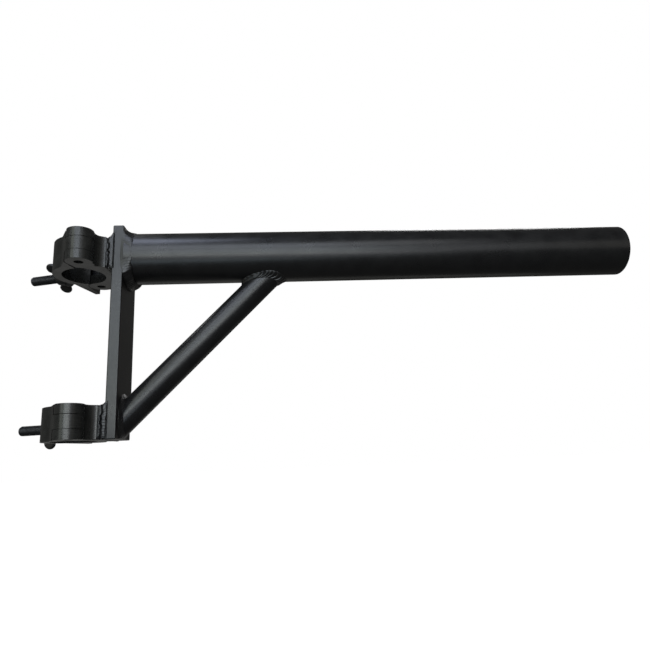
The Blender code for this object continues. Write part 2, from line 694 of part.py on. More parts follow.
def make_clamp(prefix, z, wing_roll, alloy, steel):
    """One half coupler with its pins, bolt, washer and wing nut."""
    make_saddle(prefix, z, alloy)
    make_jaw(prefix, z, alloy)
    make_pin(prefix + "hinge_pin", HINGE, z, steel)
    make_pin(prefix + "bolt_pin", BOLT_PIN, z, steel)
    make_bolt(prefix, z, steel)
    make_washer(prefix, z, steel)
    make_wing_nut(prefix, z, wing_roll, steel)


black_coat = material("black_powder_coat", (0.035, 0.036, 0.038), 0.42, 0.0)
weld_coat = material("coated_weld", (0.040, 0.041, 0.043), 0.5, 0.0)
black_alloy = material("black_alloy", (0.060, 0.060, 0.058), 0.38, 0.6)
black_steel = material("black_steel", (0.090, 0.092, 0.096), 0.35, 0.8)

make_arm(black_coat)
make_bar(black_coat)
make_brace(black_coat)
make_arm_weld(weld_coat)
make_brace_head_weld(weld_coat)
make_brace_foot_weld(weld_coat)
make_clamp("upper_", UPPER_Z, UPPER_WING_ROLL, black_alloy, black_steel)
make_clamp("lower_", LOWER_Z, LOWER_WING_ROLL, black_alloy, black_steel)

# The upper fillet climbs to just under the bar's top.
upper_rise = BAR_TOP - FOOT_WELD_BELOW_BAR_TOP - (UPPER_Z + CLAMP_WIDTH / 2 + GAP)
make_foot_weld("upper_", UPPER_Z, FOOT_WELD_REACH_UPPER, upper_rise, FOOT_WELD_UNDER, weld_coat)
make_foot_weld("lower_", LOWER_Z, FOOT_WELD_REACH_LOWER, FOOT_WELD_RISE_LOWER, 0.0, weld_coat)
bpy.context.view_layer.update()
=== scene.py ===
# The looks of a truss extension arm: a black powder coated steel arm on an upright flat bar
# with a slanting brace, and two half couplers welded to the bar's back. Units are metres.
# +X runs along the arm and +Z is up. The truss chord that the clamps grip stands on the Z axis.
import math

import bmesh
import bpy
import numpy as np
from mathutils import Matrix


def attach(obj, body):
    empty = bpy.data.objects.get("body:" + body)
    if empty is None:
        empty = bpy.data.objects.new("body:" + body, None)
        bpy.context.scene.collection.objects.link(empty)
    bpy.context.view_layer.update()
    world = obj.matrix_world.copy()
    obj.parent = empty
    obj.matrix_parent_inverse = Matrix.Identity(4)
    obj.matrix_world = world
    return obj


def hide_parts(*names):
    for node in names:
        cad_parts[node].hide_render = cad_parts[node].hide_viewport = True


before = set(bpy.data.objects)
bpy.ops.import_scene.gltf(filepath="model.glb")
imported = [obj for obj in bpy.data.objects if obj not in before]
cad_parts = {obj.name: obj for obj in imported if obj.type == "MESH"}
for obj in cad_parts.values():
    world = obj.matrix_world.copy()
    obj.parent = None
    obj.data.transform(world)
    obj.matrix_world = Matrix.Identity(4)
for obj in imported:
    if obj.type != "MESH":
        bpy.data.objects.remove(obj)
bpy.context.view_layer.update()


# The upright is a length of hot rolled flat bar, cut square, with its edges just broken and
# sprayed with satin black powder coat. The arm, the brace and both saddles are welded to it.
FACET_ANGLE = math.radians(50.0)
CORNER_STEPS = 5
FLAT_GUARD = 0.3


def added(name, data):
    """A new object in the scene, at the origin."""
    made = bpy.data.objects.new(name, data)
    bpy.context.scene.collection.objects.link(made)
    return made


def skin(name, grid, wrap_rows=False):
    """A closed mesh over a grid of points shaped (rows, columns, 3). Each cell is a quad and the
    last column runs into the first. Rows wrap as well, or else a fan to its own mean point
    closes the first row and the last. Where the volume enclosed comes out negative, the
    columns are taken the other way round, so that faces point outwards."""
    rows, columns = grid.shape[:2]
    index = np.arange(rows * columns).reshape(rows, columns)
    low = index if wrap_rows else index[:-1]
    high = np.roll(index, -1, axis=0) if wrap_rows else index[1:]
    quads = np.stack([low, np.roll(low, -1, 1), np.roll(high, -1, 1), high], axis=-1).reshape(-1, 4)
    points = grid.reshape(-1, 3)
    fans = np.empty((0, 3), int)
    if not wrap_rows:
        points = np.vstack([points, grid[0].mean(0), grid[-1].mean(0)])
        first = np.full(columns, rows * columns)
        fans = np.vstack([
            np.stack([np.roll(index[0], -1), index[0], first], axis=-1),
            np.stack([index[-1], np.roll(index[-1], -1), first + 1], axis=-1),
        ])
    a, b, c, d = (points[quads[:, corner]] for corner in range(4))
    e, f, g = (points[fans[:, corner]] for corner in range(3))
    volume = np.sum(a * np.cross(b, c)) + np.sum(a * np.cross(c, d)) + np.sum(e * np.cross(f, g))
    if volume < 0.0:
        quads = quads[:, ::-1]
        fans = fans[:, ::-1]
    mesh = bpy.data.meshes.new(name)
    mesh.from_pydata(points.tolist(), [], quads.tolist() + fans.tolist())
    mesh.shade_smooth()
    mesh.set_sharp_from_angle(angle=FACET_ANGLE)
    return added(name, mesh)


def bowed(first, control, last, t):
    """The quadratic curve (1 - t)^2 first + 2 t (1 - t) control + t^2 last."""
    return (1.0 - t) ** 2 * first + 2.0 * t * (1.0 - t) * control + t**2 * last


def softened(corners, rounding):
    """A closed outline with its corners rounded: between the points one rounding short of a
    corner on either side runs a quadratic curve with the corner as its control, and a guard
    point 0.3 roundings further out on both sides keeps the flats flat."""
    corners = np.asarray(corners, float)[:, None]
    reach = np.broadcast_to(rounding, len(corners))[:, None, None]
    back = np.roll(corners, 1, axis=0) - corners
    ahead = np.roll(corners, -1, axis=0) - corners
    back = back / np.linalg.norm(back, axis=-1, keepdims=True)
    ahead = ahead / np.linalg.norm(ahead, axis=-1, keepdims=True)
    start = corners + reach * back
    end = corners + reach * ahead
    curve = bowed(start, corners, end, np.linspace(0.0, 1.0, CORNER_STEPS)[None, :, None])
    rows = [start + FLAT_GUARD * reach * back, curve, end + FLAT_GUARD * reach * ahead]
    return np.concatenate(rows, axis=1).reshape(-1, 2)


def put(tree, kind, inputs=None, **settings):
    """Adds a node with its settings. An input given as a socket is linked, any other is set."""
    made = tree.nodes.new(kind)
    for key, value in settings.items():
        setattr(made, key, value)
    for key, value in (inputs or {}).items():
        if isinstance(value, bpy.types.NodeSocket):
            tree.links.new(value, made.inputs[key])
        else:
            made.inputs[key].default_value = value
    return made


def reckoned(tree, operation, *values, clamp=False):
    """The result of a Math node on two or three values, each a number or a socket."""
    made = put(tree, "ShaderNodeMath", dict(enumerate(values)), operation=operation, use_clamp=clamp)
    return made.outputs[0]


def ranged(tree, value, low, high, to_low=0.0, to_high=1.0):
    """A value taken from the range low to high into another range, and held inside that."""
    return put(tree, "ShaderNodeMapRange", {
        "Value": value, "From Min": low, "From Max": high, "To Min": to_low, "To Max": to_high,
    }).outputs[0]


def noise(tree, place, scale, detail, roughness=0.5):
    """Soft noise at a place, most of it between 0.3 and 0.7."""
    return put(tree, "ShaderNodeTexNoise", {
        "Vector": place, "Scale": scale, "Detail": detail, "Roughness": roughness,
    }).outputs["Fac"]


def effect(name, takes, gives):
    """An empty node group with named inputs and outputs, and its two end nodes."""
    group = bpy.data.node_groups.new(name, "ShaderNodeTree")
    for label, kind, value in takes:
        group.interface.new_socket(label, in_out="INPUT", socket_type=kind).default_value = value
    for label, kind in gives:
        group.interface.new_socket(label, in_out="OUTPUT", socket_type=kind)
    return group, group.nodes.new("NodeGroupInput"), group.nodes.new("NodeGroupOutput")


def material(name, roughness, metallic, specular=0.5):
    """A material with its Principled shader, whose constants are set on its own sockets."""
    made = bpy.data.materials.new(name)
    made.use_nodes = True
    shader = made.node_tree.nodes["Principled BSDF"]
    shader.inputs["Roughness"].default_value = roughness
    shader.inputs["Metallic"].default_value = metallic
    shader.inputs["Specular IOR Level"].default_value = specular
    return made, made.node_tree, shader


# Orange peel: two scales of soft noise on the sprayed coat, the larger one set by the peel's size,
# and slow patches for its gloss.
peel, given, out = effect(
    "orange_peel",
    [("Peel Size", "NodeSocketFloat", 0.0014), ("Grain Share", "NodeSocketFloat", 0.25)],
    [("Height", "NodeSocketFloat"), ("Patches", "NodeSocketFloat")],
)
where = put(peel, "ShaderNodeTexCoord").outputs["Object"]
wide = reckoned(peel, "DIVIDE", 1.0, given.outputs["Peel Size"])
tight = reckoned(peel, "MULTIPLY", wide, 4.5)
mixed = put(peel, "ShaderNodeMix", {
    "Factor": given.outputs["Grain Share"],
    "A": noise(peel, where, wide, 1.5), "B": noise(peel, where, tight, 2.0),
})
peel.links.new(mixed.outputs["Result"], out.inputs["Height"])
peel.links.new(noise(peel, where, 42.0, 3.0), out.inputs["Patches"])

# Dust film: a pale, duller haze in soft patches and fine specks, thicker on faces that look up.
DUST_COLOUR = (0.21, 0.205, 0.195, 1.0)
DUST_ROUGHNESS = 0.85
SPECK_SHARE = 0.8
MIX_COLOUR_A, MIX_COLOUR_B, MIX_COLOUR_OUT = 6, 7, 2
dust, given, out = effect(
    "dust_film",
    [
        ("Colour", "NodeSocketColor", (0.02, 0.02, 0.02, 1.0)),
        ("Roughness", "NodeSocketFloat", 0.4),
        ("Amount", "NodeSocketFloat", 0.1),
    ],
    [("Colour", "NodeSocketColor"), ("Roughness", "NodeSocketFloat")],
)
where = put(dust, "ShaderNodeTexCoord").outputs["Object"]
haze = ranged(dust, noise(dust, where, 60.0, 5.0, 0.62), 0.38, 0.72)
specks = ranged(dust, noise(dust, where, 1500.0, 1.0), 0.62, 0.78)
facing = put(dust, "ShaderNodeNewGeometry").outputs["Normal"]
upward = put(dust, "ShaderNodeSeparateXYZ", {0: facing}).outputs["Z"]
lying = ranged(dust, upward, -0.6, 1.0, 0.35, 1.0)
film = reckoned(dust, "MULTIPLY_ADD", specks, SPECK_SHARE, haze)
film = reckoned(dust, "MULTIPLY", film, lying)
film = reckoned(dust, "MULTIPLY", film, given.outputs["Amount"], clamp=True)
tone = put(dust, "ShaderNodeMix", {
    "Factor": film, MIX_COLOUR_A: given.outputs["Colour"], MIX_COLOUR_B: DUST_COLOUR,
}, data_type="RGBA")
dull = put(dust, "ShaderNodeMix", {
    "Factor": film, "A": given.outputs["Roughness"], "B": DUST_ROUGHNESS,
})
dust.links.new(tone.outputs[MIX_COLOUR_OUT], out.inputs["Colour"])
dust.links.new(dull.outputs["Result"], out.inputs["Roughness"])

NOISE_LOW, NOISE_HIGH = 0.3, 0.7
COAT_UNEVEN = 0.035


def cover(tree, shader, colour, gloss, dusty, height, depth):
    """Feeds a shader its colour and gloss through the film of dust, and its relief."""
    film = put(
        tree, "ShaderNodeGroup", {"Colour": colour, "Roughness": gloss, "Amount": dusty}, node_tree=dust,
    )
    relief = put(tree, "ShaderNodeBump", {"Height": height, "Strength": 1.0, "Distance": depth})
    tree.links.new(film.outputs["Colour"], shader.inputs["Base Color"])
    tree.links.new(film.outputs["Roughness"], shader.inputs["Roughness"])
    tree.links.new(relief.outputs["Normal"], shader.inputs["Normal"])


def coat(name, colour, roughness, peel_size, peel_depth, dusty):
    """Powder coat: near black, its gloss a little uneven, with orange peel and a film of dust."""
    made, tree, shader = material(name, roughness, metallic=0.0)
    texture = put(tree, "ShaderNodeGroup", {"Peel Size": peel_size}, node_tree=peel)
    gloss = ranged(
        tree, texture.outputs["Patches"], NOISE_LOW, NOISE_HIGH,
        roughness - COAT_UNEVEN, roughness + COAT_UNEVEN,
    )
    cover(tree, shader, (*colour, 1.0), gloss, dusty, texture.outputs["Height"], peel_depth)
    return made


powder_coat = coat(
    "powder_coat", (0.006, 0.006, 0.0065), roughness=0.29,
    peel_size=0.0016, peel_depth=0.00005, dusty=0.05,
)


def dress(piece, paint, slot, body, *nodes):
    """Gives a piece its material and its body, and hides the solids that it stands for. Its slot is not
    used.
    """
    piece.data.materials.clear()
    piece.data.materials.append(paint)
    if nodes:
        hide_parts(*nodes)
    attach(piece, body)


BAR_BACK, BAR_FRONT = 0.038, 0.048
BAR_HALF = 0.023
BAR_BOTTOM, BAR_TOP = -0.1733, 0.0267
BAR_EDGE = 0.0009
EDGE_GUARD = 1.4
quarter = np.linspace(0.0, math.pi / 2, CORNER_STEPS)
inset = BAR_EDGE * np.concatenate([[EDGE_GUARD], 1.0 - np.sin(quarter), [0.0]])
rise = BAR_EDGE * np.concatenate([[0.0], 1.0 - np.cos(quarter), [EDGE_GUARD]])
insets = np.concatenate([inset, inset[::-1]])
heights = np.concatenate([BAR_BOTTOM + rise, BAR_TOP - rise[::-1]])
middle = (BAR_BACK + BAR_FRONT) / 2
rows = []
for step, height in zip(insets, heights):
    x = (BAR_FRONT - BAR_BACK) / 2 - step
    y = BAR_HALF - step
    plan = softened([(x, -y), (x, y), (-x, y), (-x, -y)], BAR_EDGE)
    rows.append(np.column_stack([plan[:, 0] + middle, plan[:, 1], np.full(len(plan), height)]))
bar = skin("upright_flat_bar", np.array(rows))
dress(bar, powder_coat, "powder_coat", "frame", "mounting_bar")


# The arm is a plain welded steel tube, butted against the bar. Its far end is cut square,
# left open and just deburred, and it has the bar's satin black powder coat.
ARM_RADIUS, ARM_BORE = 0.025, 0.022
ARM_START, ARM_END = 0.0483, 0.548
ARM_COLUMNS = 144
OUTER_RIM, INNER_RIM, BUTTED_RIM = 0.0007, 0.0005, 0.0003


def turned(profile, steps, origin=(0.0, 0.0, 0.0), along=(0.0, 0.0, 1.0), side=(1.0, 0.0, 0.0)):
    """A profile turned about an axis: a point of radius r and height h at angle a lies at
    origin + h along + r (cos a side + sin a (along x side))."""
    radius, height = np.asarray(profile, float).T
    angle = np.linspace(0.0, 2.0 * math.pi, steps, endpoint=False)
    along = np.asarray(along, float)
    side = np.asarray(side, float)
    other = np.cross(along, side)
    ring = np.cos(angle)[:, None] * side + np.sin(angle)[:, None] * other
    return np.asarray(origin, float) + height[:, None, None] * along + radius[:, None, None] * ring


wall = softened(
    [(ARM_RADIUS, ARM_START), (ARM_RADIUS, ARM_END), (ARM_BORE, ARM_END), (ARM_BORE, ARM_START)],
    [BUTTED_RIM, OUTER_RIM, INNER_RIM, BUTTED_RIM],
)
tube = turned(wall, ARM_COLUMNS, along=(1.0, 0.0, 0.0), side=(0.0, 0.0, 1.0))
arm = skin("arm_tube_open", tube, wrap_rows=True)
dress(arm, powder_coat, "powder_coat", "frame", "arm_tube")


# The brace is a thinner tube at 45 degrees, coated like the arm. Its foot is cut flat for the
# bar and its head is coped round the arm's underside.
BRACE_RADIUS, BRACE_BORE = 0.0125, 0.0100
BRACE_FOOT = BAR_BOTTOM + BRACE_RADIUS * math.sqrt(2.0)
BRACE_ROWS, BRACE_COLUMNS = 40, 96
WELD_GAP = 0.0003
SLOPE = np.array([math.sqrt(0.5), 0.0, math.sqrt(0.5)])
ACROSS = np.array([-math.sqrt(0.5), 0.0, math.sqrt(0.5)])


def foot_ring(radius, angle):
    """A ring about the brace's axis where that meets the bar's front: at angle a the foot's
    point plus radius times (cos a along +Y and sin a towards the brace's upper side)."""
    foot = np.array([BAR_FRONT, 0.0, BRACE_FOOT])
    sideways = np.cos(angle)[:, None] * np.array([0.0, 1.0, 0.0])
    return foot + radius * (sideways + np.sin(angle)[:, None] * ACROSS)


def to_bar(radius, angle, stand_off=0.0):
    """Where lines along the brace from that ring meet a plane that stands off the bar's front."""
    start = foot_ring(radius, angle)
    run = (BAR_FRONT + stand_off - start[:, 0]) / SLOPE[0]
    return start + run[:, None] * SLOPE


def to_arm(radius, angle, stand_off=0.0):
    """Where those lines meet the underside of a cylinder round the arm's axis: the height there
    is minus the square root of its radius squared less y squared."""
    start = foot_ring(radius, angle)
    height = -np.sqrt((ARM_RADIUS + stand_off) ** 2 - start[:, 1] ** 2)
    run = (height - start[:, 2]) / SLOPE[2]
    return start + run[:, None] * SLOPE


def between(first, last, share):
    """The point at a share of the straight way from one to another."""
    return (1.0 - share) * first + share * last


angle = np.linspace(0.0, 2.0 * math.pi, BRACE_COLUMNS, endpoint=False)
share = np.linspace(0.0, 1.0, BRACE_ROWS)[:, None, None]
foot_out, foot_in = (to_bar(radius, angle, WELD_GAP) for radius in (BRACE_RADIUS, BRACE_BORE))
head_out, head_in = (to_arm(radius, angle, WELD_GAP) for radius in (BRACE_RADIUS, BRACE_BORE))
tube = np.concatenate([between(foot_out, head_out, share), between(head_in, foot_in, share)])
brace = skin("brace_tube_coped", tube, wrap_rows=True)
dress(brace, powder_coat, "powder_coat", "frame", "brace_tube")


# Three fillet beads join the tubes and the bar. They are laid by hand, so each is a row of
# overlapping crescents whose edges wander a little, under the same coat.
weld_coat = coat(
    "coated_weld", (0.007, 0.007, 0.0075), roughness=0.29,
    peel_size=0.0011, peel_depth=0.00005, dusty=0.07,
)
CRESCENT_BOW, CRESCENT_DRIFT = 0.6, 0.35
LUMP_LENGTH, RAGGED_LENGTH = 0.0065, 0.0031
SHOULDER_SHARE, GROOVE_SHARE = 0.05, 0.055


def drift(place, count, seed):
    """Smooth noise along a closed path: random heights at even places, joined by half cosines."""
    heights = np.random.default_rng(seed).uniform(-1.0, 1.0, count)
    at = (place % 1.0) * count
    left = at.astype(int) % count
    blend = 0.5 - 0.5 * np.cos(math.pi * (at - np.floor(at)))
    return between(heights[left], heights[(left + 1) % count], blend)


def bead(name, toe_a, elbow, toe_b, roots, seed, pitch, lift, lump, roll, cuts=(), columns=31):
    """A weld bead round a closed row of stations. At the share s of the way from toe to toe its
    face is the quadratic curve from toe_a by way of elbow to toe_b. It is raised by ripples,
    which are sin(pi c^0.6) of the place c in a crescent bowed across the bead, by slow lumps,
    and by a rolled shoulder (1 - s) (1 - exp(-s / 0.05)) at each toe. Each cut, given by its
    centre, its depth and how far it wanders, is a groove exp(-((s - centre) / 0.055)^2)."""
    if cuts:
        s = np.linspace(0.0, 1.0, columns)[None, :]
    else:
        s = 0.5 - 0.5 * np.cos(np.linspace(0.0, math.pi, columns))[None, :]
    face = bowed(toe_a[:, None], elbow[:, None], toe_b[:, None], s[..., None])
    outward = (toe_a + toe_b) / 2 - np.mean(roots, axis=0)
    outward = outward / np.linalg.norm(outward, axis=1, keepdims=True)
    middle = face[:, columns // 2]
    steps = np.linalg.norm(np.roll(middle, -1, axis=0) - middle, axis=1)
    total = steps.sum()
    place = ((np.cumsum(steps) - steps) / total)[:, None]

    bow = 4.0 * s * (1.0 - s)
    count = round(total / pitch)
    uneven = CRESCENT_DRIFT * drift(place, count // 2, seed)
    crescent = (place * count + uneven - CRESCENT_BOW * bow) % 1.0
    ripples = lift * np.sin(math.pi * crescent**0.6) * bow**0.5
    height = ripples * (1.0 + 0.5 * drift(place, count // 3, seed + 1))

    slow = round(total / LUMP_LENGTH)
    edge_lumps = drift(place, slow, seed + 2) * np.cos(math.pi * s)
    crown_lumps = drift(place, slow, seed + 3) * np.sin(math.pi * s)
    height = height + lump * bow**0.3 * (edge_lumps + crown_lumps)

    for rolled, near in zip(roll, (s, 1.0 - s)):
        shoulder = (1.0 - np.exp(-near / SHOULDER_SHARE)) * (1.0 - near)
        height = height + np.reshape(rolled, (-1, 1)) * shoulder

    quick = round(total / RAGGED_LENGTH)
    for number, (centre, depth, wander) in enumerate(cuts):
        centre = centre + wander * drift(place, quick, seed + 4 + number)
        uneven = 0.75 + 0.25 * drift(place, quick, seed + 6 + number)
        groove = np.exp(-((s - centre) / GROOVE_SHARE) ** 2)
        height = height - np.reshape(depth, (-1, 1)) * uneven * groove
    face = face + height[..., None] * outward[:, None]
    lines = [line[:, None] for line in roots[::-1]]
    return skin(name, np.concatenate([face] + lines, axis=1), wrap_rows=True)


def eased(value, start, length):
    """A smooth step 3 t^2 - 2 t^3 of a value, which rises over a length from its start."""
    t = np.clip((value - start) / length, 0.0, 1.0)
    return t**2 * (3.0 - 2.0 * t)


# Round the arm: beside it the ring is wider than the bar, and the bead laps over the bar's edges.
# Its face sinks towards the root on top and swells elsewhere.
RING_STATIONS = 900
ARM_LEG, ARM_THROAT = 0.0078, 0.0060
LEG_DRIFT = 0.0006
SIDE_LAP = 0.0022
ROOT_DEPTH = 0.0022
TUCK = 0.0001
BESIDE_BAR = BAR_HALF + 0.00005
angle = np.linspace(0.0, 2.0 * math.pi, RING_STATIONS, endpoint=False)
over, up = np.sin(angle), np.cos(angle)


def round_arm(x, radius):
    """The ring's stations at a place along the arm and a distance from its axis."""
    return np.stack([np.broadcast_to(x, angle.shape), radius * over, radius * up], -1)


beside = eased(np.abs(over), 0.78, 0.18)
sunk = np.interp(up, [-1.0, -0.4, 0.45, 0.8], [-0.30, -0.25, -0.25, 0.50])
leg = ARM_LEG + LEG_DRIFT * drift(angle / (2.0 * math.pi), 34, 5)
toe_arm = round_arm(BAR_FRONT + leg, ARM_RADIUS - TUCK)
toe_bar = round_arm(BAR_FRONT - 0.0003 - SIDE_LAP * beside, ARM_RADIUS + ARM_THROAT)
toe_bar[:, 1] = np.clip(toe_bar[:, 1], -BESIDE_BAR, BESIDE_BAR)
toe_bar[:, 2] = np.minimum(toe_bar[:, 2], BAR_TOP - 0.0006)
root = round_arm(BAR_FRONT - 0.0004, ARM_RADIUS - ROOT_DEPTH)
middle = (toe_arm + toe_bar) / 2
ring = bead(
    "weld_round_arm", toe_arm, middle + sunk[:, None] * (root - middle), toe_bar, [root], seed=11,
    pitch=0.0026, lift=0.00028, lump=0.00030, roll=(0.0009, 0.0004 * (1.0 - beside)),
)
dress(ring, weld_coat, "coated_weld", "frame", "weld_arm_to_bar")

# Round the brace's head and foot: slightly hollow, drawn a fifth of the way in to the root.
BRACE_STATIONS = 560
HEAD_LEG, HEAD_DROP = 0.0034, 0.0052
FOOT_LEG = 0.0046
BRACE_ROOT = BRACE_RADIUS - 0.0015
HOLLOW_SHARE = 0.20
angle = np.linspace(0.0, 2.0 * math.pi, BRACE_STATIONS, endpoint=False)
toe_arm = to_arm(BRACE_RADIUS + HEAD_LEG, angle, -TUCK)
toe_brace = to_arm(BRACE_RADIUS - TUCK, angle) - HEAD_DROP * SLOPE
root = to_arm(BRACE_ROOT, angle, -0.0015)
middle = (toe_arm + toe_brace) / 2
head = bead(
    "weld_round_brace_head", toe_arm, middle + HOLLOW_SHARE * (root - middle), toe_brace, [root],
    seed=23, pitch=0.0040, lift=0.00065, lump=0.00060, roll=(0.0002, 0.0004),
)
dress(head, weld_coat, "coated_weld", "frame", "weld_brace_to_arm")

toe_bar = to_bar(BRACE_RADIUS + FOOT_LEG, angle, -TUCK)
toe_bar[:, 1] = np.clip(toe_bar[:, 1], -BAR_HALF + 0.0006, BAR_HALF - 0.0006)
toe_bar[:, 2] = np.maximum(toe_bar[:, 2], BAR_BOTTOM + 0.0004)
toe_brace = to_bar(BRACE_RADIUS - TUCK, angle) + FOOT_LEG * SLOPE
root = to_bar(BRACE_ROOT, angle, -0.0010)
middle = (toe_bar + toe_brace) / 2
foot = bead(
    "weld_round_brace_foot", toe_bar, middle + HOLLOW_SHARE * (root - middle), toe_brace, [root],
    seed=37, pitch=0.0026, lift=0.00034, lump=0.00030, roll=(0.0003, 0.0004),
)
dress(foot, weld_coat, "coated_weld", "frame", "weld_brace_to_bar")


# Each saddle is cut from an alloy extrusion: a foot, a cradle for the chord, and a forked lobe
# at each side. It is coated black, and fine lines from the cutter run across its round faces.
CLAMPS = {"upper_": -0.0007, "lower_": -0.1583}
ALLOY_EDGE = 0.00045
SAME_POINT = 1e-6
SLIVER = 0.00003
SAME_PLANE = math.radians(0.8)
SHARP_EDGE = math.radians(32.0)


def from_solid(node, name, rounding):
    """A piece made from a solid's own mesh. Its loose triangles are merged at their common
    points, those in one plane become one face, and sharp edges are rounded."""
    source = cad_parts[node].data
    source.calc_loop_triangles()
    spots = np.empty(len(source.vertices) * 3)
    source.vertices.foreach_get("co", spots)
    spots = spots.reshape(-1, 3)
    corners = np.empty(len(source.loop_triangles) * 3, int)
    source.loop_triangles.foreach_get("vertices", corners)
    key = np.round(spots / SAME_POINT).astype(int)
    _, first, place = np.unique(key, axis=0, return_index=True, return_inverse=True)
    faces = place.reshape(-1)[corners].reshape(-1, 3)
    faces = faces[(faces != np.roll(faces, 1, axis=1)).all(axis=1)]
    mesh = bpy.data.meshes.new(name)
    mesh.from_pydata(spots[first].tolist(), [], faces.tolist())
    body = bmesh.new()
    body.from_mesh(mesh)
    bmesh.ops.remove_doubles(body, verts=body.verts, dist=SLIVER)
    bmesh.ops.dissolve_limit(body, angle_limit=SAME_PLANE, verts=body.verts, edges=body.edges)
    body.to_mesh(mesh)
    body.free()
    mesh.shade_smooth()
    mesh.set_sharp_from_angle(angle=SHARP_EDGE)
    piece = added(name, mesh)
    edge = piece.modifiers.new("rounded_edges", "BEVEL")
    edge.width = rounding
    edge.segments = 2
    edge.limit_method = "ANGLE"
    edge.angle_limit = SHARP_EDGE
    edge.harden_normals = True
    edge.use_clamp_overlap = True
    return piece


# Cutter lines: noise drawn out along the level plane, so that it varies quickly with height.
lines, given, out = effect(
    "cutter_lines",
    [("Pitch", "NodeSocketFloat", 0.0006), ("Run", "NodeSocketFloat", 0.03)],
    [("Height", "NodeSocketFloat"), ("Tone", "NodeSocketFloat")],
)
where = put(lines, "ShaderNodeTexCoord").outputs["Object"]
level = reckoned(lines, "DIVIDE", 1.0, given.outputs["Run"])
steep = reckoned(lines, "DIVIDE", 1.0, given.outputs["Pitch"])
stretch = put(lines, "ShaderNodeCombineXYZ", {0: level, 1: level, 2: steep}).outputs[0]
drawn = put(lines, "ShaderNodeVectorMath", {0: where, 1: stretch}, operation="MULTIPLY").outputs[0]
lines.links.new(noise(lines, drawn, 1.0, 3.0, 0.6), out.inputs["Height"])
lines.links.new(noise(lines, where, 140.0, 4.0), out.inputs["Tone"])

METAL_SPECULAR = 0.55
METAL_UNEVEN = 0.05
TONE_UNEVEN = 0.25


def metal(name, colour, roughness, metallic, pitch, depth, dusty):
    """Blackened metal: cutter lines, slightly uneven tone and gloss, and a film of dust."""
    made, tree, shader = material(name, roughness, metallic, METAL_SPECULAR)
    cut = put(tree, "ShaderNodeGroup", {"Pitch": pitch}, node_tree=lines)
    shade = ranged(
        tree, cut.outputs["Tone"], NOISE_LOW, NOISE_HIGH, 1.0 - TONE_UNEVEN, 1.0 + TONE_UNEVEN,
    )
    tint = put(tree, "ShaderNodeVectorMath", {0: colour, "Scale": shade}, operation="SCALE")
    gloss = ranged(
        tree, cut.outputs["Height"], NOISE_LOW, NOISE_HIGH,
        roughness - METAL_UNEVEN, roughness + METAL_UNEVEN,
    )
    cover(tree, shader, tint.outputs[0], gloss, dusty, cut.outputs["Height"], depth)
    return made


black_alloy = metal(
    "black_alloy", (0.016, 0.016, 0.0145), roughness=0.23, metallic=0.10,
    pitch=0.0007, depth=0.00003, dusty=0.05,
)
for prefix in CLAMPS:
    saddle = from_solid(prefix + "saddle", prefix + "coupler_saddle", ALLOY_EDGE)
    dress(saddle, black_alloy, "black_alloy", "frame", prefix + "saddle")


# The extrusion's lobes run into its foot in long hollow curves. A web at each side of a saddle
# gives it that sweep, coated like the rest. It ends at the edge of the weld.
LOBE_RADIUS = 0.0118
HINGE_PIN = (0.013922, -0.038883)
BOLT_PIN = (0.010532, 0.034885)
NECK_STATIONS = 33
NECK_RADIUS = 0.009
NECK_PROUD, NECK_SUNK = 0.00012, 0.00004
NECK_END = 0.0324
FOOT_SIDE, FOOT_INSIDE = 0.0245, 0.0233
WRAP_SHARE, LEAVE_SHARE, LEAVE_LENGTH = 0.7, 0.62, 0.30
NECK_TOP = 0.01495
NECK_SECTION = np.array([
    (0.0, 0.0010 - NECK_TOP), (0.0, NECK_TOP - 0.0010), (0.0, NECK_TOP - 0.0003),
    (0.06, NECK_TOP), (1.0, NECK_TOP), (1.0, -NECK_TOP), (0.06, -NECK_TOP),
    (0.0, 0.0003 - NECK_TOP),
])


def neck(pin, side, z):
    """A web between a lobe and the foot. Its outer face is an arc of 9 mm radius that touches
    the lobe's circle and the foot's side. Its inner face goes 1 radian back round the lobe's
    circle and then to a line inside the foot. A station's section is a list of points, each by
    its share of the way from the outer face to the inner one and its height."""
    share = np.linspace(0.0, 1.0, NECK_STATIONS)[:, None]
    lobe = LOBE_RADIUS + NECK_PROUD
    bend = np.array([0.0, side * (FOOT_SIDE + NECK_RADIUS)])
    bend[0] = pin[0] + math.sqrt((lobe + NECK_RADIUS) ** 2 - (bend[1] - pin[1]) ** 2)
    first = math.asin((bend[1] - pin[1]) * side / (lobe + NECK_RADIUS))
    last = math.acos(np.clip((bend[0] - NECK_END) / NECK_RADIUS, -1.0, 1.0))
    turn = first + (last - first) * share
    outer = bend - NECK_RADIUS * np.concatenate([np.cos(turn), side * np.sin(turn)], axis=1)
    turn = first - np.minimum(share / WRAP_SHARE, 1.0)
    circle = np.concatenate([np.cos(turn), side * np.sin(turn)], axis=1)
    circle = np.array(pin) + (lobe - NECK_SUNK) * circle
    blend = np.clip((share - LEAVE_SHARE) / LEAVE_LENGTH, 0.0, 1.0)
    inner = between(circle, np.array([NECK_END, side * FOOT_INSIDE]), blend)
    depth, height = NECK_SECTION.T[:, None, :, None]
    plan = outer[:, None] + depth * (inner - outer)[:, None]
    return np.concatenate([plan, np.broadcast_to(z + height, (*plan.shape[:2], 1))], axis=2)


for prefix, z in CLAMPS.items():
    for label, pin, side in (("hinge", HINGE_PIN, -1.0), ("bolt", BOLT_PIN, 1.0)):
        web = skin(prefix + label + "_neck", neck(pin, side, z))
        dress(web, black_alloy, "black_alloy", "frame")


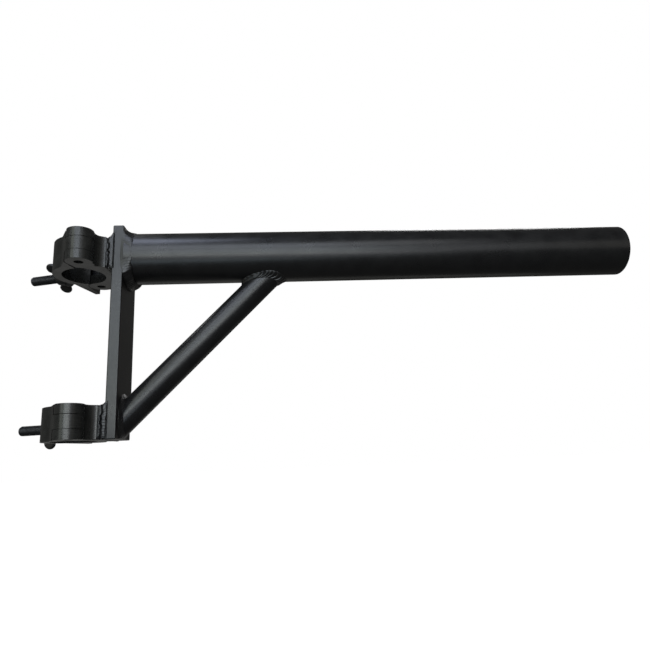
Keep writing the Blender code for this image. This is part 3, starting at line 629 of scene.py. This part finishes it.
# The saddles' feet are welded to the bar's back all round: along the sides a band that laps
# onto the bar, undercut at both toes, and on top a hollow fillet that climbs the bar. Below,
# the lower one has next to no bead, because saddle and bar end together there.
FOOT_TOP = 0.015
SADDLE_SIDE = 0.0246
FOOT_STATIONS = 1000
FOOT_POWER = 12.0
FOOT_COLUMNS = 60
BAND_WIDTH = 0.0057
BURIED_DEPTH, BURIED_HALF = 0.0052, 0.0212
BURIED_WIDTH = 0.0056
FILLET_FROM, FILLET_LENGTH, BAND_ENDS = 0.93, 0.07, 0.10


def foot_bead(name, z, reach, rise, under, lap, edge, seed):
    """Stations go round the foot on a superellipse of power 12, whose across and up values are
    shares of its half width and height, spaced evenly. Reach is how far the top fillet runs back
    along the saddle, rise how far it climbs, under how far the bead goes down below the foot,
    lap how far the side bands lap onto the bar, and edge where across a band its hinder
    undercut lies."""
    a = np.linspace(-0.5 * math.pi, 1.5 * math.pi, 6 * FOOT_STATIONS, endpoint=False)
    across = -np.sign(np.cos(a)) * np.abs(np.cos(a)) ** (2.0 / FOOT_POWER)
    up = np.sign(np.sin(a)) * np.abs(np.sin(a)) ** (2.0 / FOOT_POWER)
    steps = np.hypot(SADDLE_SIDE * np.diff(across), FOOT_TOP * np.diff(up))
    run = np.concatenate([[0.0], np.cumsum(steps)])
    even = np.linspace(0.0, run[-1], FOOT_STATIONS, endpoint=False)
    across, up = np.interp(even, run, across), np.interp(even, run, up)

    def station(x, half, top):
        """Points at x, with the half width and the half height that the shares are of."""
        return np.stack([np.broadcast_to(x, up.shape), half * across, z + top * up], -1)

    on_top = eased(up, FILLET_FROM, FILLET_LENGTH)
    flush = 1.0 - on_top
    beside = np.clip((1.0 - np.abs(up)) / BAND_ENDS, 0.0, 1.0)
    climb = FOOT_TOP + np.where(up > 0.0, rise, under)
    toe_saddle = station(
        BAR_BACK - BAND_WIDTH - (reach - BAND_WIDTH) * on_top, SADDLE_SIDE, FOOT_TOP + TUCK,
    )
    toe_bar = station(BAR_BACK - TUCK + lap * beside, BESIDE_BAR, climb)
    elbow = station(
        BAR_BACK - 0.0002 + (0.0006 + 0.3 * lap) * beside, SADDLE_SIDE + 0.0002, FOOT_TOP + 0.0004,
    )
    buried = station(BAR_BACK - BURIED_DEPTH, BURIED_HALF, FOOT_TOP - 0.0008)
    inner = buried + np.array([BURIED_WIDTH, 0.0, 0.0])
    return bead(
        name, toe_saddle, elbow, toe_bar, [buried, inner], seed,
        pitch=0.0024, lift=0.00022, lump=0.00022, roll=(0.0, 0.0009 * flush),
        cuts=((edge, 0.0026 * flush, 0.08), (0.82, 0.0025 * flush, 0.07)), columns=FOOT_COLUMNS,
    )


for prefix, reach, rise, under, lap, edge, seed in (
    ("upper_", 0.0082, 0.0106, 0.0026, 0.0020, 0.22, 42),
    ("lower_", 0.0062, 0.0056, 0.0002, 0.0026, 0.30, 51),
):
    name = prefix + "weld_round_foot"
    band = foot_bead(name, CLAMPS[prefix], reach, rise, under, lap, edge, seed)
    dress(band, weld_coat, "coated_weld", "frame", "weld_" + prefix + "saddle")


# The jaws are the couplers' moving halves, cut from an extrusion too. Each turns on its hinge
# pin by a knuckle, and its ear is split so that the bolt can swing out.
for prefix in CLAMPS:
    jaw = from_solid(prefix + "jaw", prefix + "coupler_jaw", ALLOY_EDGE)
    dress(jaw, black_alloy, "black_alloy", prefix + "jaw", prefix + "jaw")


# Rolled spring pins hold jaw and bolt in the saddle. They sit just under its faces, and are of
# blackened steel like the bolts, washers and nuts.
PIN_EDGE = 0.00015
black_steel = metal(
    "black_steel", (0.014, 0.0145, 0.0155), roughness=0.34, metallic=0.30,
    pitch=0.0004, depth=0.00002, dusty=0.06,
)
for prefix in CLAMPS:
    for place in ("hinge_pin", "bolt_pin"):
        pin = from_solid(prefix + place, prefix + place + "_rolled", PIN_EDGE)
        dress(pin, black_steel, "black_steel", "frame", prefix + place)


# The swing bolt is forged steel: a round eye on the pin, a neck, and a shank with a rolled
# thread right up to its rounded tip.
BOLT_ALONG = np.array([-0.954761, 0.297375, 0.0])
BOLT_SIDE = np.array([0.0, 0.0, 1.0])
BOLT_RADIUS = 0.0049
EYE_RADIUS, EYE_BORE, EYE_HALF, EYE_EDGE = 0.0092, 0.0042, 0.0052, 0.0006
SHANK_START, SHANK_COLUMNS = 0.0052, 44
SPREAD_END, SPREAD_LENGTH, SPREAD_WIDER, SPREAD_SQUARER = 0.0125, 0.0072, 0.42, 2.5
THREAD_PITCH, THREAD_DEPTH, THREAD_ROWS = 0.0015, 0.00078, 11
THREAD_CREST, THREAD_FLANK = 0.10, 0.72
THREAD_START, BOLT_END = 0.0215, 0.084
TIP_LENGTH, TIP_LAST, TIP_SHARE = 0.0021, 0.0003, 0.30
TURNED_COLUMNS = 64


def threaded_shank(origin):
    """A round shank whose radius is the bolt's less the thread's depth times a V wave, flat at
    crest and root, of the place along it less the turn about it, in pitches. The wave fades in
    over two pitches, the tip is rounded over its last 2 mm, and near the eye the section
    spreads sideways into the eye as a superellipse."""
    along = np.concatenate([
        np.linspace(SHANK_START, SPREAD_END + 0.0010, 14),
        np.linspace(SPREAD_END + 0.0020, THREAD_START - 0.0005, 4),
        np.arange(THREAD_START, BOLT_END - TIP_LAST, THREAD_PITCH / THREAD_ROWS),
        BOLT_END - TIP_LAST * (1 - np.linspace(0.3, 1.0, 4)),
    ])[:, None]
    turn = np.linspace(0.0, 2.0 * math.pi, SHANK_COLUMNS, endpoint=False)
    wave = np.abs(((along / THREAD_PITCH - turn / (2.0 * math.pi)) % 1.0) * 2.0 - 1.0)
    fade = np.clip((along - THREAD_START) / (2 * THREAD_PITCH), 0.0, 1.0)
    groove = np.clip((wave - THREAD_CREST) / THREAD_FLANK, 0.0, 1.0) * fade
    radius = BOLT_RADIUS - THREAD_DEPTH * groove
    short = np.clip((BOLT_END - along) / TIP_LENGTH, 0.0, 1.0)
    radius = radius * (TIP_SHARE + (1.0 - TIP_SHARE) * np.sqrt(1.0 - (1.0 - short) ** 2))
    spread = np.clip((SPREAD_END - along) / SPREAD_LENGTH, 0.0, 1.0) ** 2
    power = 2.0 / (2.0 + SPREAD_SQUARER * spread)
    upward = radius * (np.sign(np.cos(turn)) * np.abs(np.cos(turn)) ** power)
    sideways = np.sign(np.sin(turn)) * np.abs(np.sin(turn)) ** power
    sideways = radius * (1.0 + SPREAD_WIDER * spread) * sideways
    return (
        np.asarray(origin) + along[..., None] * BOLT_ALONG
        + upward[..., None] * BOLT_SIDE + sideways[..., None] * np.cross(BOLT_ALONG, BOLT_SIDE)
    )


for prefix, z in CLAMPS.items():
    origin = (*BOLT_PIN, z)
    loop = softened([
        (EYE_RADIUS, -EYE_HALF), (EYE_RADIUS, EYE_HALF), (EYE_BORE, EYE_HALF), (EYE_BORE, -EYE_HALF),
    ], EYE_EDGE)
    eye = skin(prefix + "bolt_eye", turned(loop, TURNED_COLUMNS, origin), wrap_rows=True)
    dress(eye, black_steel, "black_steel", prefix + "bolt")
    shank = skin(prefix + "bolt_threaded", threaded_shank(origin))
    dress(shank, black_steel, "black_steel", prefix + "bolt", prefix + "swing_bolt")


# A punched steel washer lies on the split ear under each nut, with one edge rolled over by the
# punch. Its bore and the nut's just clear the thread.
WASHER_AT, WASHER_THICK = 0.039532, 0.0016
WASHER_RADIUS, THREAD_BORE = 0.0100, 0.0052
for prefix, z in CLAMPS.items():
    origin = np.array([*BOLT_PIN, z]) + WASHER_AT * BOLT_ALONG
    disc = softened([
        (WASHER_RADIUS, 0.0), (WASHER_RADIUS, WASHER_THICK),
        (THREAD_BORE, WASHER_THICK), (THREAD_BORE, 0.0),
    ], [0.0002, 0.0005, 0.0003, 0.0002])
    disc = turned(disc, TURNED_COLUMNS, origin, BOLT_ALONG, BOLT_SIDE)
    washer = skin(prefix + "washer_punched", disc, wrap_rows=True)
    dress(washer, black_steel, "black_steel", prefix + "washer", prefix + "washer")


# The wing nut is cast: a tapered hub with a thread through it and two round paddles, thick in
# the middle and rounded at their rims.
NUT_AT = 0.041432
HUB_WIDE, HUB_NARROW, HUB_SHOULDER, HUB_HEIGHT = 0.0085, 0.0072, 0.0016, 0.0100
WING_CENTRE = np.array([0.0133, 0.0098])
WING_RADIUS, WING_HALF = 0.0062, 0.0021
WING_ROOT = np.array([(0.0040, 0.0082), (0.0040, 0.0046), (0.0052, 0.0008), (0.0068, 0.0006)])
WING_ROLLS = {"upper_": math.radians(-57.0), "lower_": math.radians(-12.0)}
WING_ROWS, WING_COLUMNS = 17, 90


def paddle(origin, roll, side):
    """A wing as a pillow: its outline is a circle with a root that runs in to the hub. At angle
    s, which goes from -90 degrees at the front to 90 at the back, the outline is drawn towards
    the paddle's centre by (cos s)^0.45 and lies off the middle plane by half the thickness
    times (sin s)^0.75."""
    bearing = np.radians(np.linspace(-62.0, 118.0, 40))
    arc = WING_CENTRE + WING_RADIUS * np.column_stack([np.cos(bearing), np.sin(bearing)])
    closed = np.vstack([arc, WING_ROOT, arc[:1]])
    steps = np.linalg.norm(np.diff(closed, axis=0), axis=1)
    run = np.concatenate([[0.0], np.cumsum(steps)])
    even = np.linspace(0.0, run[-1], WING_COLUMNS, endpoint=False)
    outline = np.column_stack([np.interp(even, run, closed[:, 0]), np.interp(even, run, closed[:, 1])])
    level = np.cross(BOLT_ALONG, [0.0, 0.0, -1.0])
    outward = side * (math.sin(roll) * level - math.cos(roll) * BOLT_SIDE)
    s = np.linspace(-0.5 * math.pi, 0.5 * math.pi, WING_ROWS)[1:-1, None, None]
    flat = WING_CENTRE + np.cos(s) ** 0.45 * (outline - WING_CENTRE)
    depth = WING_HALF * np.sign(np.sin(s)) * np.abs(np.sin(s)) ** 0.75
    return (
        origin + flat[..., :1] * outward + flat[..., 1:] * BOLT_ALONG
        + depth * np.cross(BOLT_ALONG, outward)
    )


for prefix, z in CLAMPS.items():
    origin = np.array([*BOLT_PIN, z]) + NUT_AT * BOLT_ALONG
    shell = softened([
        (HUB_WIDE, 0.0), (HUB_WIDE, HUB_SHOULDER), (HUB_NARROW, HUB_HEIGHT),
        (THREAD_BORE, HUB_HEIGHT), (THREAD_BORE, 0.0),
    ], [0.0003, 0.0005, 0.0007, 0.0005, 0.0003])
    shell = turned(shell, TURNED_COLUMNS, origin, BOLT_ALONG, BOLT_SIDE)
    hub = skin(prefix + "wing_nut_hub", shell, wrap_rows=True)
    dress(hub, black_steel, "black_steel", prefix + "nut", prefix + "wing_nut")
    for label, side in (("near", 1.0), ("far", -1.0)):
        wing = skin(prefix + "wing_" + label, paddle(origin, WING_ROLLS[prefix], side))
        dress(wing, black_steel, "black_steel", prefix + "nut")


# The studio: strips of soft light stacked in front from high to low, fills to the left and the
# right, a cool one at the upper left, and dim ones behind that show the back and the underside.
# The floor is plain and pale and the background white.
AIM = np.array([0.12, 0.0, -0.04])
LIGHT_DISTANCE = 1.2
FLOOR_REACH, FLOOR_Z = 30, -0.9


def softbox(name, spot, target, size, power, colour=(1.0, 1.0, 1.0)):
    """A rectangular area light that looks from one point to another."""
    data = bpy.data.lights.new(name, "AREA")
    data.shape = "RECTANGLE"
    data.size, data.size_y = size
    data.energy = power
    data.color = colour
    spot, target = np.array(spot), np.array(target)
    back = (spot - target) / np.linalg.norm(spot - target)
    right = np.cross([0.0, 0.0, 1.0], back)
    right = right / np.linalg.norm(right)
    axes = np.eye(4)
    axes[:3] = np.column_stack([right, np.cross(back, right), back, spot])
    lamp = added(name, data)
    lamp.matrix_world = Matrix(axes.tolist())
    lamp.visible_camera = False


# Each strip's bearing from straight in front and height, in degrees, size, power and colour.
for name, bearing, height, size, power, colour in (
    ("key_high", -10, 34, (0.85, 0.42), 3.9, (0.81, 0.88, 1.0)),
    ("key_high_right", 24, 36, (0.4, 0.42), 0.8, (0.95, 0.97, 1.0)),
    ("key_mid", -5, 14, (0.95, 0.28), 3.4, (0.85, 0.93, 1.0)),
    ("key_centre", -6, 1, (0.95, 0.14), 2.0, (0.9, 1.0, 0.97)),
    ("key_low", 2, -5, (0.95, 0.18), 1.5, (0.95, 0.95, 1.0)),
    ("key_lower", 0, -17, (0.95, 0.20), 0.45, (0.86, 0.92, 1.0)),
    ("key_under", -15, -27, (0.8, 0.20), 0.9, (0.72, 0.89, 1.0)),
    ("key_right", 30, 10, (0.4, 0.5), 0.55, (0.93, 0.95, 1.0)),
    ("far_right", 50, 10, (0.35, 0.5), 0.22, (1.0, 0.95, 0.85)),
    ("key_left", -42, 15, (0.5, 0.9), 2.2, (0.93, 1.0, 0.92)),
    ("left_high", -70, 33, (0.35, 0.35), 0.8, (0.95, 0.97, 1.0)),
    ("left_low", -60, -23, (0.9, 0.5), 0.6, (1.0, 0.9, 0.7)),
    ("top_left", -42, 62, (0.55, 0.45), 3.7, (0.72, 0.79, 1.0)),
    ("back_low", -160, -19, (1.2, 0.20), 0.17, (1.0, 1.0, 0.98)),
    ("back_under", 172, -33, (1.5, 0.25), 0.30, (1.0, 1.0, 0.97)),
):
    bearing, height = math.radians(bearing), math.radians(height)
    away = np.array([
        math.sin(bearing) * math.cos(height), -math.cos(bearing) * math.cos(height), math.sin(height),
    ])
    softbox(name, AIM + LIGHT_DISTANCE * away, AIM, size, power, colour)
softbox("back_left", (-0.75, 0.45, 1.25), (0.05, 0.0, -0.05), (0.7, 0.6), 4.5)
softbox("back_right", (1.02, 1.3, 1.18), (0.25, 0.0, -0.05), (0.8, 0.6), 5.0)

# The camera sees a white world, and everything else a dim one.
world = bpy.data.worlds.new("studio")
bpy.context.scene.world = world
world.use_nodes = True
tree = world.node_tree
tree.nodes.clear()
seen = put(tree, "ShaderNodeLightPath").outputs["Is Camera Ray"]
dim = put(tree, "ShaderNodeBackground", {"Color": (1.0, 0.99, 0.95, 1.0), "Strength": 0.07})
white = put(tree, "ShaderNodeBackground", {"Color": (1.0, 1.0, 1.0, 1.0), "Strength": 1.0})
shown = put(tree, "ShaderNodeMixShader", {0: seen, 1: dim.outputs[0], 2: white.outputs[0]})
put(tree, "ShaderNodeOutputWorld", {"Surface": shown.outputs[0]})

pale, _, shader = material("pale_floor", roughness=0.9, metallic=0.0, specular=0.1)
shader.inputs["Base Color"].default_value = (0.8, 0.8, 0.8, 1.0)
shader.inputs["Emission Color"].default_value = (1.0, 1.0, 1.0, 1.0)
shader.inputs["Emission Strength"].default_value = 0.97
floor_corners = [
    (x * FLOOR_REACH, y * FLOOR_REACH, FLOOR_Z) for x, y in ((-1, -1), (1, -1), (1, 1), (-1, 1))
]
floor_mesh = bpy.data.meshes.new("floor")
floor_mesh.from_pydata(floor_corners, [], [(0, 1, 2, 3)])
floor_mesh.materials.append(pale)
floor = added("floor", floor_mesh)
floor.visible_diffuse = False
floor.visible_glossy = False

bpy.context.scene.view_settings.view_transform = "Standard"

# The camera stands in front, a little below the arm, and looks up at it.
camera = added("camera", bpy.data.cameras.new("camera"))
camera.data.lens = 30.213
camera.data.sensor_width = 36.0
camera.data.clip_start = 0.02
camera.matrix_world = Matrix((
    (0.9966, 0.0283, -0.0773, 0.1960),
    (-0.0686, -0.2331, -0.9700, -0.5185),
    (-0.0454, 0.9720, -0.2304, -0.1945),
    (0.0, 0.0, 0.0, 1.0),
))
bpy.context.scene.camera = camera
